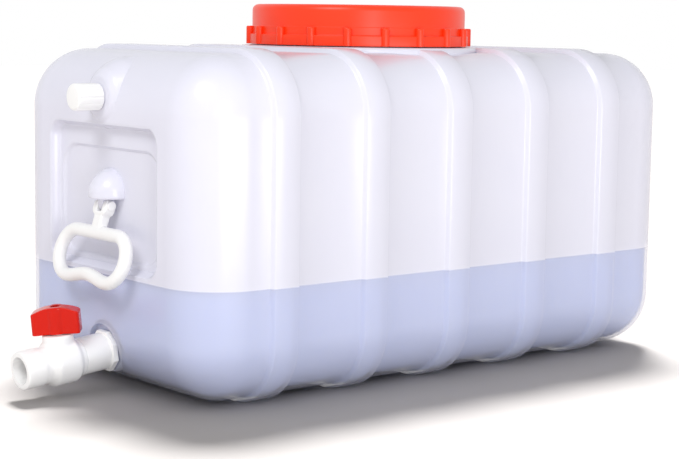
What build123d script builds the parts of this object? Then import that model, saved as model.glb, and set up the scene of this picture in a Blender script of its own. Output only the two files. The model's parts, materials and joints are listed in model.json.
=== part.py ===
from build123d import *
from math import acos, cos, degrees, radians, sin, sqrt
import os

# A portable water tank for a caravan: a blow-moulded body with five raised bands, a wide screw
# lid over an inner lid, a capped vent, a swinging pull handle at each end and a small ball valve.
# Millimetres. The origin is on the floor, under the middle of the body. X runs along the tank
# with the valve at the low end, and Z is up. The body stands on its bands.

# Tank body. The edges round each end are a little tighter than the long ones, because a
# corner that is a true sphere leaves gaps in its mesh.
TANK_LENGTH = 600.0
TANK_WIDTH = 318.0
TANK_HEIGHT = 305.0
WALL = 3.0
EDGE_R = 54.0
END_EDGE_R = 53.0

# Every cut runs this far past the face that it leaves through, and turned edges are eased in flats
OVERCUT = 1.0
EASE_FLATS = 3

# Raised bands round the girth
BAND_COUNT = 5
BAND_PITCH = 102.4
BAND_MIDDLE_X = -8.0
BAND_WIDTH = 32.0
BAND_PROUD = 4.5
BAND_CHAMFER = 3.0

# Recess in each end, with a shallower arch inside it
RECESS_WIDTH = 180.0
RECESS_BOTTOM = 108.0
RECESS_TOP = 240.0
RECESS_DEPTH = 9.0
RECESS_CORNER = 16.0
ARCH_WIDTH = 164.0
ARCH_BOTTOM = 116.0
ARCH_TOP = 219.0
ARCH_DEPTH = 2.5
ARCH_CORNER = 24.0

# Ear that carries each handle
PIVOT_HEIGHT = 166.0
PIVOT_INSET = 4.0
EAR_REACH = 21.5
EAR_LIFT = 6.5
EAR_BELLY_RISE = 13.0
EAR_SHOULDER_RISE = 26.0
EAR_TIP_RISE = 34.0
EAR_SHOULDER_SHARE = 0.68
EAR_TIP_SHARE = 0.12
TONGUE_THICKNESS = 7.4
TONGUE_R = 5.0

# Pull handle, which its stiff hinge holds a little out from the end
HANDLE_LEAN = 17.0
BAR_D = 12.5
BAR_FLATS = 12
GRIP_HALF_WIDTH = 55.0
GRIP_TOP_DROP = 25.5
GRIP_BOTTOM_DROP = 68.5
GRIP_WAIST_RISE = 4.5
HEAD_WIDTH = 22.0
HEAD_DROP = 10.0
HEAD_END_R = 5.5
HEAD_EDGE_R = 0.9
STEM_WIDTH = 13.0
STEM_DEPTH = 9.6
FORK_GAP = 1.0
PIN_D = 6.0
PIN_HEAD_D = 9.0
PIN_HEAD_HEIGHT = 1.5
PIN_CLEARANCE = 0.08
SIDE_CLEARANCE = 0.3

# Filling neck, its collar, and the pieces on it
COLLAR_D = 236.0
COLLAR_HEIGHT = 5.0
COLLAR_EASE = 3.0
NECK_D = 200.0
NECK_WALL = 4.0
NECK_HEIGHT = 29.0
GASKET_THICKNESS = 3.0
GASKET_BORE = 188.0
GASKET_INSET = 0.5
INNER_LID_THICKNESS = 3.0
INNER_LID_DEPTH = 10.0
INNER_LID_CLEARANCE = 3.0

# Screw lid
LID_D = 213.0
LID_WALL = 3.2
LID_TOP_THICKNESS = 3.5
LID_EDGE_R = 6.5
LID_GAP = 1.0
PRESS_RING_HEIGHT = 1.5
PRESS_RING_WIDTH = 4.0
LID_DISH_D = 186.0
LID_DISH_DEPTH = 1.2
SKIRT_D = 219.0
SKIRT_HEIGHT = 10.0
LUG_COUNT = 19
LUG_FIRST_ANGLE = 224.5
LUG_REACH_D = 225.0
LUG_WIDTH = 8.0
LUG_HEIGHT = 17.5

# Vent spigot and its cap
VENT_HEIGHT = 264.0
VENT_BOSS_D = 42.0
VENT_BOSS_ROOT_D = 62.0
VENT_BOSS_PROUD = 2.5
VENT_NECK_D = 18.0
VENT_BORE_D = 12.6
VENT_NECK_LENGTH = 21.5
VENT_CAP_D = 24.4
VENT_CAP_WALL = 2.4
VENT_CAP_END = 3.0
VENT_CAP_GAP = 1.0
VENT_CAP_GRIPS = 12
VENT_CAP_GRIP_D = 3.0
VENT_SEAL_THICKNESS = 2.0

# Outlet: a round pocket in the body's end with a seat and the spigot that the valve screws on,
# all leaned down from the body's end so that the tank drains
OUTLET_HEIGHT = 32.5
OUTLET_DROOP = 6.0
OUTLET_POCKET_D = 50.0
OUTLET_SEAT_D = 42.0
OUTLET_SEAT_ROOT_D = 56.0
OUTLET_INSET = 8.0
OUTLET_SPIGOT_D = 26.4
OUTLET_BORE_D = 19.0
OUTLET_SPIGOT_LENGTH = 22.0
OUTLET_SEAL_THICKNESS = 2.0
SCREWED_CLEARANCE = 0.1

# Valve body and inlet end
VALVE_D = 35.0
VALVE_LENGTH = 60.0
CHAMBER_D = 42.0
CHAMBER_LENGTH = 30.0
SOCKET_D = 25.2
SOCKET_DEPTH = 22.0
INLET_D = 34.0
INLET_LENGTH = 31.0
INLET_INSERT = 6.0
WRENCH_ACROSS = 36.5
WRENCH_LENGTH = 6.0
VALVE_GAP = 1.0
BONNET_D = 28.0
BONNET_TOP = 25.5

# Ball, seats and stem
BALL_D = 27.0
BALL_BORE_D = 18.0
BALL_FLATS = 8
BALL_CLEARANCE = 0.25
CHAMBER_CLEARANCE = 0.8
SEAT_BORE_D = 18.5
SEAT_REACH = 13.0
SEAT_FACE = 7.5
STEM_D = 11.9
STEM_CLEARANCE = 0.05
STEM_FLANGE_D = 14.0
STEM_FLANGE_HEIGHT = 2.5
STEM_SLOT = 5.0
STEM_TANG = 4.7
TANG_DEPTH = 3.0
RING_WIRE_D = 1.4
STEM_RING_HEIGHTS = (19.3, 22.3)
DRIVE_SIZE = 7.0
DRIVE_LENGTH = 8.0
DRIVE_CLEARANCE = 0.05
INLET_RING_WIRE_D = 1.6

# Butterfly handle of the valve and its screw
KNOB_GAP = 1.0
KNOB_SPAN = 43.0
KNOB_TIP_WIDTH = 20.0
KNOB_WAIST_WIDTH = 12.0
KNOB_HUB_D = 19.0
KNOB_HEIGHT = 24.5
KNOB_TIP_DROP = 5.5
KNOB_CORNER = 3.0
KNOB_POCKET_DEPTH = 1.5
KNOB_POCKET_LENGTH = 8.0
KNOB_POCKET_HEIGHT = 11.0
KNOB_POCKET_BOTTOM = 4.0
KNOB_TURN = -38.5
SCREW_D = 4.0
SCREW_LENGTH = 12.0
SCREW_HEAD_D = 8.0
SCREW_HEAD_HEIGHT = 2.6
SCREW_SLOT = 1.0
SCREW_SHELF = 3.5
SCREW_ROOM = 0.4

# Planes and places worked out from the sizes above
BODY_BOTTOM = BAND_PROUD
BODY_TOP = BODY_BOTTOM + TANK_HEIGHT
BODY_MID = BODY_BOTTOM + TANK_HEIGHT / 2
END_X = TANK_LENGTH / 2
FLOOR_X = END_X - RECESS_DEPTH - ARCH_DEPTH
PIVOT_X = END_X - PIVOT_INSET
PIVOT_Z = BODY_BOTTOM + PIVOT_HEIGHT
COLLAR_TOP = BODY_TOP + COLLAR_HEIGHT
NECK_TOP = COLLAR_TOP + NECK_HEIGHT
GASKET_TOP = NECK_TOP + GASKET_THICKNESS
INNER_LID_TOP = GASKET_TOP + INNER_LID_THICKNESS
LID_BOTTOM = COLLAR_TOP + LID_GAP
LID_CEILING = INNER_LID_TOP + PRESS_RING_HEIGHT
LID_TOP = LID_CEILING + LID_TOP_THICKNESS
VENT_Z = BODY_BOTTOM + VENT_HEIGHT
VENT_FACE_X = -END_X - VENT_BOSS_PROUD
VALVE_Z = BODY_BOTTOM + OUTLET_HEIGHT
OUTLET_FACE_X = -END_X + OUTLET_INSET
SPIGOT_END_X = OUTLET_FACE_X - OUTLET_SPIGOT_LENGTH
INLET_START_X = OUTLET_FACE_X - VALVE_GAP
VALVE_START_X = INLET_START_X - INLET_LENGTH
BALL_X = VALVE_START_X - INLET_INSERT - SEAT_REACH
CHAMBER_R = BALL_D / 2 + CHAMBER_CLEARANCE


def disc_x(d, x_from, x_to, z):
    """A round bar along X."""
    bar = Cylinder(d / 2, abs(x_to - x_from), rotation=(0, 90, 0))
    return Pos((x_from + x_to) / 2, 0, z) * bar


def disc_z(d, z_from, z_to, x=0.0):
    """A round bar along Z."""
    return Pos(x, 0, (z_from + z_to) / 2) * Cylinder(d / 2, z_to - z_from)


def ring_z(outer_d, inner_d, z_from, z_to):
    """A flat ring round the Z direction."""
    return disc_z(outer_d, z_from, z_to) - disc_z(inner_d, z_from - OVERCUT, z_to + OVERCUT)


def ring_x(outer_d, inner_d, x_from, x_to, z):
    """A flat ring round the X direction, x_to being the lower X."""
    bore = disc_x(inner_d, x_from + OVERCUT, x_to - OVERCUT, z)
    return disc_x(outer_d, x_from, x_to, z) - bore


def cone_x(d_from, d_to, x_from, x_to, z):
    """A cone along X, d_from wide at x_from and d_to wide at the lower x_to."""
    cone = Cone(d_from / 2, d_to / 2, x_from - x_to, rotation=(0, -90, 0))
    return Pos((x_from + x_to) / 2, 0, z) * cone


def turned(points):
    """A piece turned round Z from the points of its half profile."""
    return revolve(Plane.XZ * make_face(Polyline(*points, close=True)), Axis.Z)


def eased_edge(edge_r, top, ease_r):
    """Profile points of an eased edge, from the side at radius edge_r up to the top."""
    angles = [radians(90 * i / EASE_FLATS) for i in range(EASE_FLATS + 1)]
    return [(edge_r + ease_r * (cos(a) - 1), top + ease_r * (sin(a) - 1)) for a in angles]


def eased_disc(d, z_from, z_to, ease_r):
    """A round disc along Z with its upper edge eased."""
    edge = eased_edge(d / 2, z_to, ease_r)
    return turned([(0, z_from), (d / 2, z_from), *edge, (0, z_to)])


def rounded_block(inset):
    """The body's box with round edges, drawn in by inset on every side."""
    block = Box(TANK_LENGTH - 2 * inset, TANK_WIDTH - 2 * inset, TANK_HEIGHT - 2 * inset)
    block = fillet(block.edges().filter_by(Axis.X), EDGE_R - inset)
    ends = block.faces().filter_by(Axis.X)
    return Pos(0, 0, BODY_MID) * fillet(ends[0].edges() + ends[1].edges(), END_EDGE_R - inset)


def band(x, inset):
    """One raised band round the girth, drawn in by inset on every side."""
    grow = BAND_PROUD - inset
    profile = RectangleRounded(TANK_WIDTH + 2 * grow, TANK_HEIGHT + 2 * grow, EDGE_R + grow)
    ring = extrude(Plane.YZ * profile, BAND_WIDTH / 2 - inset, both=True)
    rims = ring.faces().sort_by(Axis.X)
    ring = chamfer(rims[0].edges() + rims[-1].edges(), BAND_CHAMFER)
    return Pos(x, 0, BODY_MID) * ring


def bands(inset):
    first = BAND_MIDDLE_X - BAND_PITCH * (BAND_COUNT - 1) / 2
    return [band(first + i * BAND_PITCH, inset) for i in range(BAND_COUNT)]


def end_pocket(width, bottom, top, depth, corner, grow):
    """A rounded pocket sunk in the valve end; grow reaches the wall's inner side."""
    outside = END_X + BAND_PROUD
    outline = RectangleRounded(width + 2 * grow, top - bottom + 2 * grow, corner + grow)
    middle = (-outside, 0, BODY_BOTTOM + (top + bottom) / 2)
    place = Plane(origin=middle, x_dir=(0, 1, 0), z_dir=(1, 0, 0))
    return extrude(place * outline, outside - END_X + depth + grow)


def end_recess(grow):
    """Recess of the valve end and the arch inside it."""
    recess = end_pocket(RECESS_WIDTH, RECESS_BOTTOM, RECESS_TOP, RECESS_DEPTH, RECESS_CORNER, grow)
    arch_depth = RECESS_DEPTH + ARCH_DEPTH
    arch = end_pocket(ARCH_WIDTH, ARCH_BOTTOM, ARCH_TOP, arch_depth, ARCH_CORNER, grow)
    return recess + arch


def ear():
    """The moulded ear of the valve end: a drop-shaped nose over a thin drilled tongue."""
    foot = (EAR_REACH, EAR_LIFT)
    belly = (EAR_REACH, EAR_BELLY_RISE)
    shoulder = (EAR_REACH * EAR_SHOULDER_SHARE, EAR_SHOULDER_RISE)
    tip = (EAR_REACH * EAR_TIP_SHARE, EAR_TIP_RISE)
    side = Polyline((0, EAR_TIP_RISE), (0, EAR_LIFT), foot, belly)
    outline = make_face(side + ThreePointArc(belly, shoulder, tip) + Line(tip, (0, EAR_TIP_RISE)))
    nose = Pos(-FLOOR_X, 0, PIVOT_Z) * revolve(Plane.XZ * outline, Axis.Z)
    tongue_end = extrude(Plane.XZ * Circle(TONGUE_R), TONGUE_THICKNESS / 2, both=True)
    root = PIVOT_X - FLOOR_X + WALL
    top = EAR_LIFT + OVERCUT
    web = Pos(root / 2, 0, (top - TONGUE_R) / 2) * Box(root, TONGUE_THICKNESS, top + TONGUE_R)
    bridge = Pos(0, 0, top / 2) * Box(2 * TONGUE_R, TONGUE_THICKNESS, top)
    hole = Cylinder(PIN_D / 2 + PIN_CLEARANCE, 2 * TONGUE_THICKNESS, rotation=(90, 0, 0))
    tongue = Pos(-PIVOT_X, 0, PIVOT_Z) * (tongue_end + web + bridge - hole)
    reach = 2 * EAR_REACH
    outer_side = Pos(-FLOOR_X + WALL / 2 - reach, 0, PIVOT_Z) * Box(2 * reach, 4 * reach, 4 * reach)
    return (nose + tongue) & outer_side


def drooped(shape):
    """A piece modelled on a level outlet, leaned down with it from the body's end."""
    turn = Pos(-END_X, 0, VALVE_Z) * Rot(0, -OUTLET_DROOP, 0) * Pos(END_X, 0, -VALVE_Z)
    return turn * shape


def outlet_pocket(grow):
    """The round pocket sunk in the end round the outlet; grow reaches the wall's inner side."""
    outside = -END_X - OUTLET_POCKET_D / 2
    return drooped(disc_x(OUTLET_POCKET_D + 2 * grow, OUTLET_FACE_X + grow, outside, VALVE_Z))


def outlet_seat_boss(inset):
    """The round seat under the valve, which the body's lower edge falls away from."""
    root_x = -END_X + EDGE_R
    root_d, seat_d = OUTLET_SEAT_ROOT_D - 2 * inset, OUTLET_SEAT_D - 2 * inset
    return drooped(cone_x(root_d, seat_d, root_x, OUTLET_FACE_X + inset, VALVE_Z))


def vent_boss(inset):
    """The raised round seat of the vent, drawn in by inset."""
    root_x = -END_X + EDGE_R
    grow = 2 * inset
    return cone_x(VENT_BOSS_ROOT_D - grow, VENT_BOSS_D - grow, root_x, VENT_FACE_X + inset, VENT_Z)


def tank_shell():
    """The blow-moulded body, one wall thick, with every moulded neck, boss and ear."""
    outer = rounded_block(0) + bands(0)
    cavity = rounded_block(WALL) + bands(WALL)
    for turn in (0, 180):
        outer -= Rot(0, 0, turn) * end_recess(0)
        cavity -= Rot(0, 0, turn) * end_recess(WALL)
    outer -= outlet_pocket(0)
    cavity -= outlet_pocket(WALL)
    collar_root = BODY_TOP - EDGE_R / 2
    collar = eased_disc(COLLAR_D, collar_root, COLLAR_TOP, COLLAR_EASE)
    outer += [collar, disc_z(NECK_D, BODY_TOP, NECK_TOP), outlet_seat_boss(0), vent_boss(0)]
    collar_room = disc_z(COLLAR_D - 2 * WALL, collar_root, COLLAR_TOP - WALL)
    cavity += [collar_room, outlet_seat_boss(WALL), vent_boss(WALL)]
    vent_end_x = VENT_FACE_X - VENT_NECK_LENGTH
    outer += [
        disc_x(VENT_NECK_D, VENT_FACE_X + WALL, vent_end_x, VENT_Z),
        drooped(disc_x(OUTLET_SPIGOT_D, OUTLET_FACE_X + WALL, SPIGOT_END_X, VALVE_Z)),
    ]
    shell = outer - cavity
    shell -= disc_z(NECK_D - 2 * NECK_WALL, BODY_TOP - EDGE_R, NECK_TOP + OVERCUT)
    shell -= disc_x(VENT_BORE_D, VENT_FACE_X + 2 * WALL, vent_end_x - OVERCUT, VENT_Z)
    outlet = disc_x(OUTLET_BORE_D, OUTLET_FACE_X + 2 * WALL, SPIGOT_END_X - OVERCUT, VALVE_Z)
    shell -= drooped(outlet)
    return shell + [ear(), Rot(0, 0, 180) * ear()]


def grip():
    """Kidney-shaped ring of moulded bar in the YZ plane, under a pivot at the origin."""
    end_r = (GRIP_BOTTOM_DROP - GRIP_TOP_DROP) / 2
    straight = GRIP_HALF_WIDTH - end_r
    middle = -(GRIP_BOTTOM_DROP + GRIP_TOP_DROP) / 2
    lobe = (straight, -GRIP_BOTTOM_DROP)
    waist = (0, -GRIP_BOTTOM_DROP + GRIP_WAIST_RISE)
    turn = (straight / 2, -GRIP_BOTTOM_DROP + GRIP_WAIST_RISE / 2)
    top = Line((0, -GRIP_TOP_DROP), (straight, -GRIP_TOP_DROP))
    end = ThreePointArc((straight, -GRIP_TOP_DROP), (GRIP_HALF_WIDTH, middle), lobe)
    rise = TangentArc(lobe, turn, tangent=(-1, 0))
    fall = TangentArc(waist, turn, tangent=(1, 0))
    route = Plane.YZ * Wire([top, end, rise, fall])
    flats = RegularPolygon(BAR_D / 2, BAR_FLATS, major_radius=False)
    half = sweep(Plane(origin=(0, 0, -GRIP_TOP_DROP), z_dir=(0, 1, 0)) * flats, path=route)
    return half + mirror(half, about=Plane.XZ)


def pull_handle():
    """The handle of the valve end: grip ring, stem and the forked head round the ear's tongue."""
    side = Circle(HEAD_END_R) + Pos(0, -HEAD_DROP / 2) * Rectangle(2 * HEAD_END_R, HEAD_DROP)
    head = extrude(Plane.XZ * side, HEAD_WIDTH / 2, both=True)
    cheeks = head.faces().sort_by(Axis.Y)
    head = fillet(cheeks[0].edges() + cheeks[-1].edges(), HEAD_EDGE_R)
    stem_drop = GRIP_TOP_DROP - HEAD_DROP / 2
    stem = Pos(0, 0, -GRIP_TOP_DROP + stem_drop / 2) * Box(STEM_DEPTH, STEM_WIDTH, stem_drop)
    gap_bottom = TONGUE_R + FORK_GAP
    gap_top = HEAD_END_R + OVERCUT
    slot_size = (4 * HEAD_END_R, TONGUE_THICKNESS + 2 * SIDE_CLEARANCE, gap_top + gap_bottom)
    slot = Pos(0, 0, (gap_top - gap_bottom) / 2) * Box(*slot_size)
    hole = Cylinder(PIN_D / 2, 2 * HEAD_WIDTH, rotation=(90, 0, 0))
    whole = grip() + [head, stem] - slot - hole
    return Pos(-PIVOT_X, 0, PIVOT_Z) * Rot(0, HANDLE_LEAN, 0) * whole


def handle_pin():
    """Headed pin through the fork and the ear, its head on the side of the low Y."""
    half = HEAD_WIDTH / 2
    shank = Cylinder(PIN_D / 2, HEAD_WIDTH, rotation=(90, 0, 0))
    head = Pos(0, -half - PIN_HEAD_HEIGHT / 2, 0) * Cylinder(
        PIN_HEAD_D / 2, PIN_HEAD_HEIGHT, rotation=(90, 0, 0)
    )
    return Pos(-PIVOT_X, 0, PIVOT_Z) * (shank + head)


def lid():
    """The wide screw lid: plain upper wall, a low skirt ring and upright grip lugs."""
    cap = eased_disc(LID_D, LID_BOTTOM, LID_TOP, LID_EDGE_R)
    skirt = disc_z(SKIRT_D, LID_BOTTOM, LID_BOTTOM + SKIRT_HEIGHT)
    lug = disc_z(LUG_WIDTH, LID_BOTTOM, LID_BOTTOM + LUG_HEIGHT, (LUG_REACH_D - LUG_WIDTH) / 2)
    step = 360 / LUG_COUNT
    lugs = [Rot(0, 0, LUG_FIRST_ANGLE + i * step) * lug for i in range(LUG_COUNT)]
    cap = cap + [skirt] + lugs
    cap -= disc_z(LID_D - 2 * LID_WALL, LID_BOTTOM - OVERCUT, LID_CEILING)
    cap -= disc_z(LID_DISH_D, LID_TOP - LID_DISH_DEPTH, LID_TOP + OVERCUT)
    press_d = NECK_D - 2 * GASKET_INSET
    ring_root = LID_CEILING + LID_DISH_DEPTH
    return cap + ring_z(press_d, press_d - 2 * PRESS_RING_WIDTH, INNER_LID_TOP, ring_root)


def inner_lid():
    """The sealing lid under the screw lid: a flat rim and a shallow pan inside the neck."""
    pan_d = NECK_D - 2 * NECK_WALL - 2 * INNER_LID_CLEARANCE
    pan_bottom = GASKET_TOP - INNER_LID_DEPTH
    rim = disc_z(NECK_D - 2 * GASKET_INSET, GASKET_TOP, INNER_LID_TOP)
    pan = disc_z(pan_d, pan_bottom, GASKET_TOP)
    pan = chamfer(pan.edges().sort_by(Axis.Z)[0], INNER_LID_THICKNESS / 2)
    hollow_d = pan_d - 2 * INNER_LID_THICKNESS
    floor_z = pan_bottom + INNER_LID_THICKNESS
    return rim + pan - disc_z(hollow_d, floor_z, INNER_LID_TOP + OVERCUT)


def lid_gasket():
    return ring_z(NECK_D - 2 * GASKET_INSET, GASKET_BORE, NECK_TOP, GASKET_TOP)


def vent_cap():
    """Screw cap of the vent, with grip flutes along its outside."""
    inside_x = VENT_FACE_X - VENT_NECK_LENGTH - VENT_SEAL_THICKNESS
    start_x = VENT_FACE_X - VENT_CAP_GAP
    end_x = inside_x - VENT_CAP_END
    cap = disc_x(VENT_CAP_D, start_x, end_x, VENT_Z)
    cap = chamfer(cap.edges().sort_by(Axis.X)[0], VENT_CAP_GRIP_D / 2)
    cap -= disc_x(VENT_CAP_D - 2 * VENT_CAP_WALL, start_x + OVERCUT, inside_x, VENT_Z)
    groove_r = VENT_CAP_D / 2 + VENT_CAP_GRIP_D / 4
    for i in range(VENT_CAP_GRIPS):
        angle = radians(360 / VENT_CAP_GRIPS * i)
        groove = disc_x(VENT_CAP_GRIP_D, start_x + OVERCUT, end_x + VENT_CAP_END, 0)
        cap -= Pos(0, groove_r * cos(angle), VENT_Z + groove_r * sin(angle)) * groove
    return cap


def vent_seal():
    outer_d = VENT_CAP_D - 2 * VENT_CAP_WALL - 2 * SCREWED_CLEARANCE
    neck_end_x = VENT_FACE_X - VENT_NECK_LENGTH
    return ring_x(outer_d, VENT_BORE_D, neck_end_x, neck_end_x - VENT_SEAL_THICKNESS, VENT_Z)


def outlet_seal():
    stop_x = SPIGOT_END_X - OUTLET_SEAL_THICKNESS
    return drooped(ring_x(OUTLET_SPIGOT_D, OUTLET_BORE_D, SPIGOT_END_X, stop_x, VALVE_Z))


def insert_d():
    return 2 * (CHAMBER_R - SCREWED_CLEARANCE)


def inlet_ring_d():
    """Middle diameter of the O-ring in the insert's groove."""
    return insert_d() - 2 * SCREWED_CLEARANCE - INLET_RING_WIRE_D


def valve_inlet_end():
    """Inlet end: socket over the outlet spigot, wrench flats, and the insert that holds a seat."""
    insert_x = VALVE_START_X - INLET_INSERT
    piece = disc_x(INLET_D, INLET_START_X, VALVE_START_X, VALVE_Z)
    flats = RegularPolygon(WRENCH_ACROSS / 2, 8, major_radius=False)
    place = Plane(origin=(INLET_START_X, 0, VALVE_Z), x_dir=(0, 1, 0), z_dir=(-1, 0, 0))
    piece += extrude(place * flats, WRENCH_LENGTH)
    piece += disc_x(insert_d(), VALVE_START_X, insert_x, VALVE_Z)
    socket_end_x = SPIGOT_END_X - OUTLET_SEAL_THICKNESS
    socket_d = OUTLET_SPIGOT_D + 2 * SCREWED_CLEARANCE
    piece -= disc_x(socket_d, INLET_START_X + OVERCUT, socket_end_x, VALVE_Z)
    piece -= disc_x(OUTLET_BORE_D, socket_end_x + OVERCUT, insert_x - OVERCUT, VALVE_Z)
    groove_x = (VALVE_START_X + insert_x) / 2
    core_d = inlet_ring_d() - INLET_RING_WIRE_D
    half = INLET_RING_WIRE_D / 2 + SCREWED_CLEARANCE
    groove = ring_x(insert_d() + OVERCUT, core_d, groove_x + half, groove_x - half, VALVE_Z)
    return drooped(piece - groove)


def inlet_o_ring():
    """O-ring of the insert, square as it is when pressed into its groove."""
    groove_x = VALVE_START_X - INLET_INSERT / 2
    half = INLET_RING_WIRE_D / 2
    outer_d = inlet_ring_d() + INLET_RING_WIRE_D
    inner_d = inlet_ring_d() - INLET_RING_WIRE_D
    return drooped(ring_x(outer_d, inner_d, groove_x + half, groove_x - half, VALVE_Z))


def valve_body():
    """Body with the ball chamber, the bonnet round the stem and the open outlet socket."""
    end_x = VALVE_START_X - VALVE_LENGTH
    shoulder_x = BALL_X - SEAT_REACH
    socket_x = end_x + SOCKET_DEPTH
    half = CHAMBER_LENGTH / 2
    side = eased_edge(CHAMBER_D / 2, half, (CHAMBER_D - VALVE_D) / 2)
    chamber = turned([(0, -half), *[(x, -z) for x, z in reversed(side)], *side, (0, half)])
    piece = disc_x(VALVE_D, VALVE_START_X, end_x, VALVE_Z)
    piece += Pos(BALL_X, 0, VALVE_Z) * Rot(0, 90, 0) * chamber
    piece += disc_z(BONNET_D, VALVE_Z, VALVE_Z + BONNET_TOP, BALL_X)
    piece -= disc_x(2 * CHAMBER_R, VALVE_START_X + OVERCUT, shoulder_x, VALVE_Z)
    piece -= disc_x(SEAT_BORE_D, shoulder_x + OVERCUT, socket_x - OVERCUT, VALVE_Z)
    piece -= disc_x(SOCKET_D, socket_x, end_x - OVERCUT, VALVE_Z)
    piece -= disc_z(STEM_D + 2 * STEM_CLEARANCE, VALVE_Z, VALVE_Z + BONNET_TOP + OVERCUT, BALL_X)
    pocket_top = BALL_D / 2 + STEM_FLANGE_HEIGHT + 2 * BALL_CLEARANCE
    pocket_d = STEM_FLANGE_D + 2 * BALL_CLEARANCE
    return drooped(piece - disc_z(pocket_d, VALVE_Z, VALVE_Z + pocket_top, BALL_X))


def seat(turn):
    """Seat ring of the ball: on the outlet side at turn 0 and on the inlet side at 180."""
    contact_r = BALL_D / 2 + BALL_CLEARANCE
    bore_r, outer_r = SEAT_BORE_D / 2, insert_d() / 2
    face = (sqrt(contact_r**2 - SEAT_FACE**2), SEAT_FACE)
    throat = (bore_r, sqrt(contact_r**2 - bore_r**2))
    ring = turned([face, (outer_r, SEAT_FACE), (outer_r, SEAT_REACH), (bore_r, SEAT_REACH), throat])
    return drooped(Pos(BALL_X, 0, VALVE_Z) * Rot(0, 0, turn) * Rot(0, -90, 0) * ring)


def on_stem(shape):
    """A piece modelled round the ball's centre, set in its place and turned with the handle."""
    return drooped(Pos(BALL_X, 0, VALVE_Z) * Rot(0, 0, KNOB_TURN) * shape)


def valve_ball():
    """Ball turned in narrow flats round its bore, with the slot for the stem's tang."""
    mouth = degrees(acos(BALL_BORE_D / BALL_D))
    angles = [radians(mouth * (2 * i / BALL_FLATS - 1)) for i in range(BALL_FLATS + 1)]
    ball = Rot(0, 90, 0) * turned([(BALL_D / 2 * cos(a), BALL_D / 2 * sin(a)) for a in angles])
    slot = Pos(0, 0, BALL_D / 2) * Box(STEM_SLOT, BALL_D, 2 * TANG_DEPTH + 2 * BALL_CLEARANCE)
    return on_stem(ball - slot)


def valve_stem():
    """Tang in the ball's slot, flange under the bonnet, grooved shaft and square drive."""
    flange_z = BALL_D / 2 + BALL_CLEARANCE
    shaft_z = flange_z + STEM_FLANGE_HEIGHT
    drive_z = BONNET_TOP + KNOB_GAP
    tang_z = BALL_D / 2 - TANG_DEPTH
    tang = Pos(0, 0, (tang_z + flange_z) / 2) * Box(STEM_TANG, STEM_FLANGE_D, flange_z - tang_z)
    stem = (tang & disc_z(STEM_FLANGE_D, tang_z, flange_z)) + disc_z(STEM_FLANGE_D, flange_z, shaft_z)
    stem += disc_z(STEM_D, shaft_z, drive_z)
    stem += Pos(0, 0, drive_z + DRIVE_LENGTH / 2) * Box(DRIVE_SIZE, DRIVE_SIZE, DRIVE_LENGTH)
    half = RING_WIRE_D / 2 + SCREWED_CLEARANCE
    for z in STEM_RING_HEIGHTS:
        stem -= ring_z(STEM_D + OVERCUT, stem_ring_d() - RING_WIRE_D, z - half, z + half)
    top = drive_z + DRIVE_LENGTH
    return on_stem(stem - disc_z(SCREW_D, top + SCREW_SHELF - SCREW_LENGTH, top + OVERCUT))


def stem_ring_d():
    """Middle diameter of the stem's O-rings."""
    return STEM_D - 2 * STEM_CLEARANCE - RING_WIRE_D


def stem_o_rings():
    """The stem's two O-rings, square as they are when pressed into their grooves."""
    half = RING_WIRE_D / 2
    outer_d, inner_d = stem_ring_d() + RING_WIRE_D, stem_ring_d() - RING_WIRE_D
    return Compound([on_stem(ring_z(outer_d, inner_d, z - half, z + half)) for z in STEM_RING_HEIGHTS])


def knob_plan():
    """Bow-tie outline of the butterfly handle."""
    tip_x = KNOB_SPAN / 2
    tip_y = KNOB_TIP_WIDTH / 2
    waist_y = KNOB_WAIST_WIDTH / 2
    points = [(-tip_x, -tip_y), (0, -waist_y), (tip_x, -tip_y)]
    points += [(tip_x, tip_y), (0, waist_y), (-tip_x, tip_y)]
    bow = make_face(Polyline(*points, close=True))
    tips = [v for v in bow.vertices() if abs(v.X) > waist_y]
    return fillet(tips, KNOB_CORNER)


def valve_handle():
    """Butterfly handle: arched top, pocketed flanks, hub over the square drive."""
    bottom = BONNET_TOP + KNOB_GAP
    tip_x = KNOB_SPAN / 2
    tip_z = KNOB_HEIGHT - KNOB_TIP_DROP
    sides = Polyline((-tip_x, tip_z), (-tip_x, 0), (tip_x, 0), (tip_x, tip_z))
    arch = ThreePointArc((tip_x, tip_z), (0, KNOB_HEIGHT), (-tip_x, tip_z))
    profile = extrude(Plane.XZ * make_face(sides + arch), KNOB_TIP_WIDTH, both=True)
    plan = knob_plan()
    knob = extrude(plan + Circle(KNOB_HUB_D / 2), KNOB_HEIGHT) & profile
    skin = extrude(plan, KNOB_HEIGHT) - extrude(offset(plan, -KNOB_POCKET_DEPTH), KNOB_HEIGHT)
    pocket_x = tip_x - KNOB_CORNER - KNOB_POCKET_LENGTH / 2
    window = Box(KNOB_POCKET_LENGTH, 2 * KNOB_TIP_WIDTH, KNOB_POCKET_HEIGHT)
    window_z = KNOB_POCKET_BOTTOM + KNOB_POCKET_HEIGHT / 2
    for x in (-pocket_x, pocket_x):
        knob -= skin & (Pos(x, 0, window_z) * window)
    knob = Pos(0, 0, bottom) * knob
    drive = DRIVE_SIZE + 2 * DRIVE_CLEARANCE
    drive_top = bottom + DRIVE_LENGTH
    knob -= Pos(0, 0, drive_top - DRIVE_LENGTH) * Box(drive, drive, 2 * DRIVE_LENGTH)
    past_top = bottom + KNOB_HEIGHT + OVERCUT
    knob -= disc_z(SCREW_D + SCREW_ROOM, drive_top - OVERCUT, past_top)
    knob -= disc_z(SCREW_HEAD_D + SCREW_ROOM, drive_top + SCREW_SHELF, past_top)
    return on_stem(knob)


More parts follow.
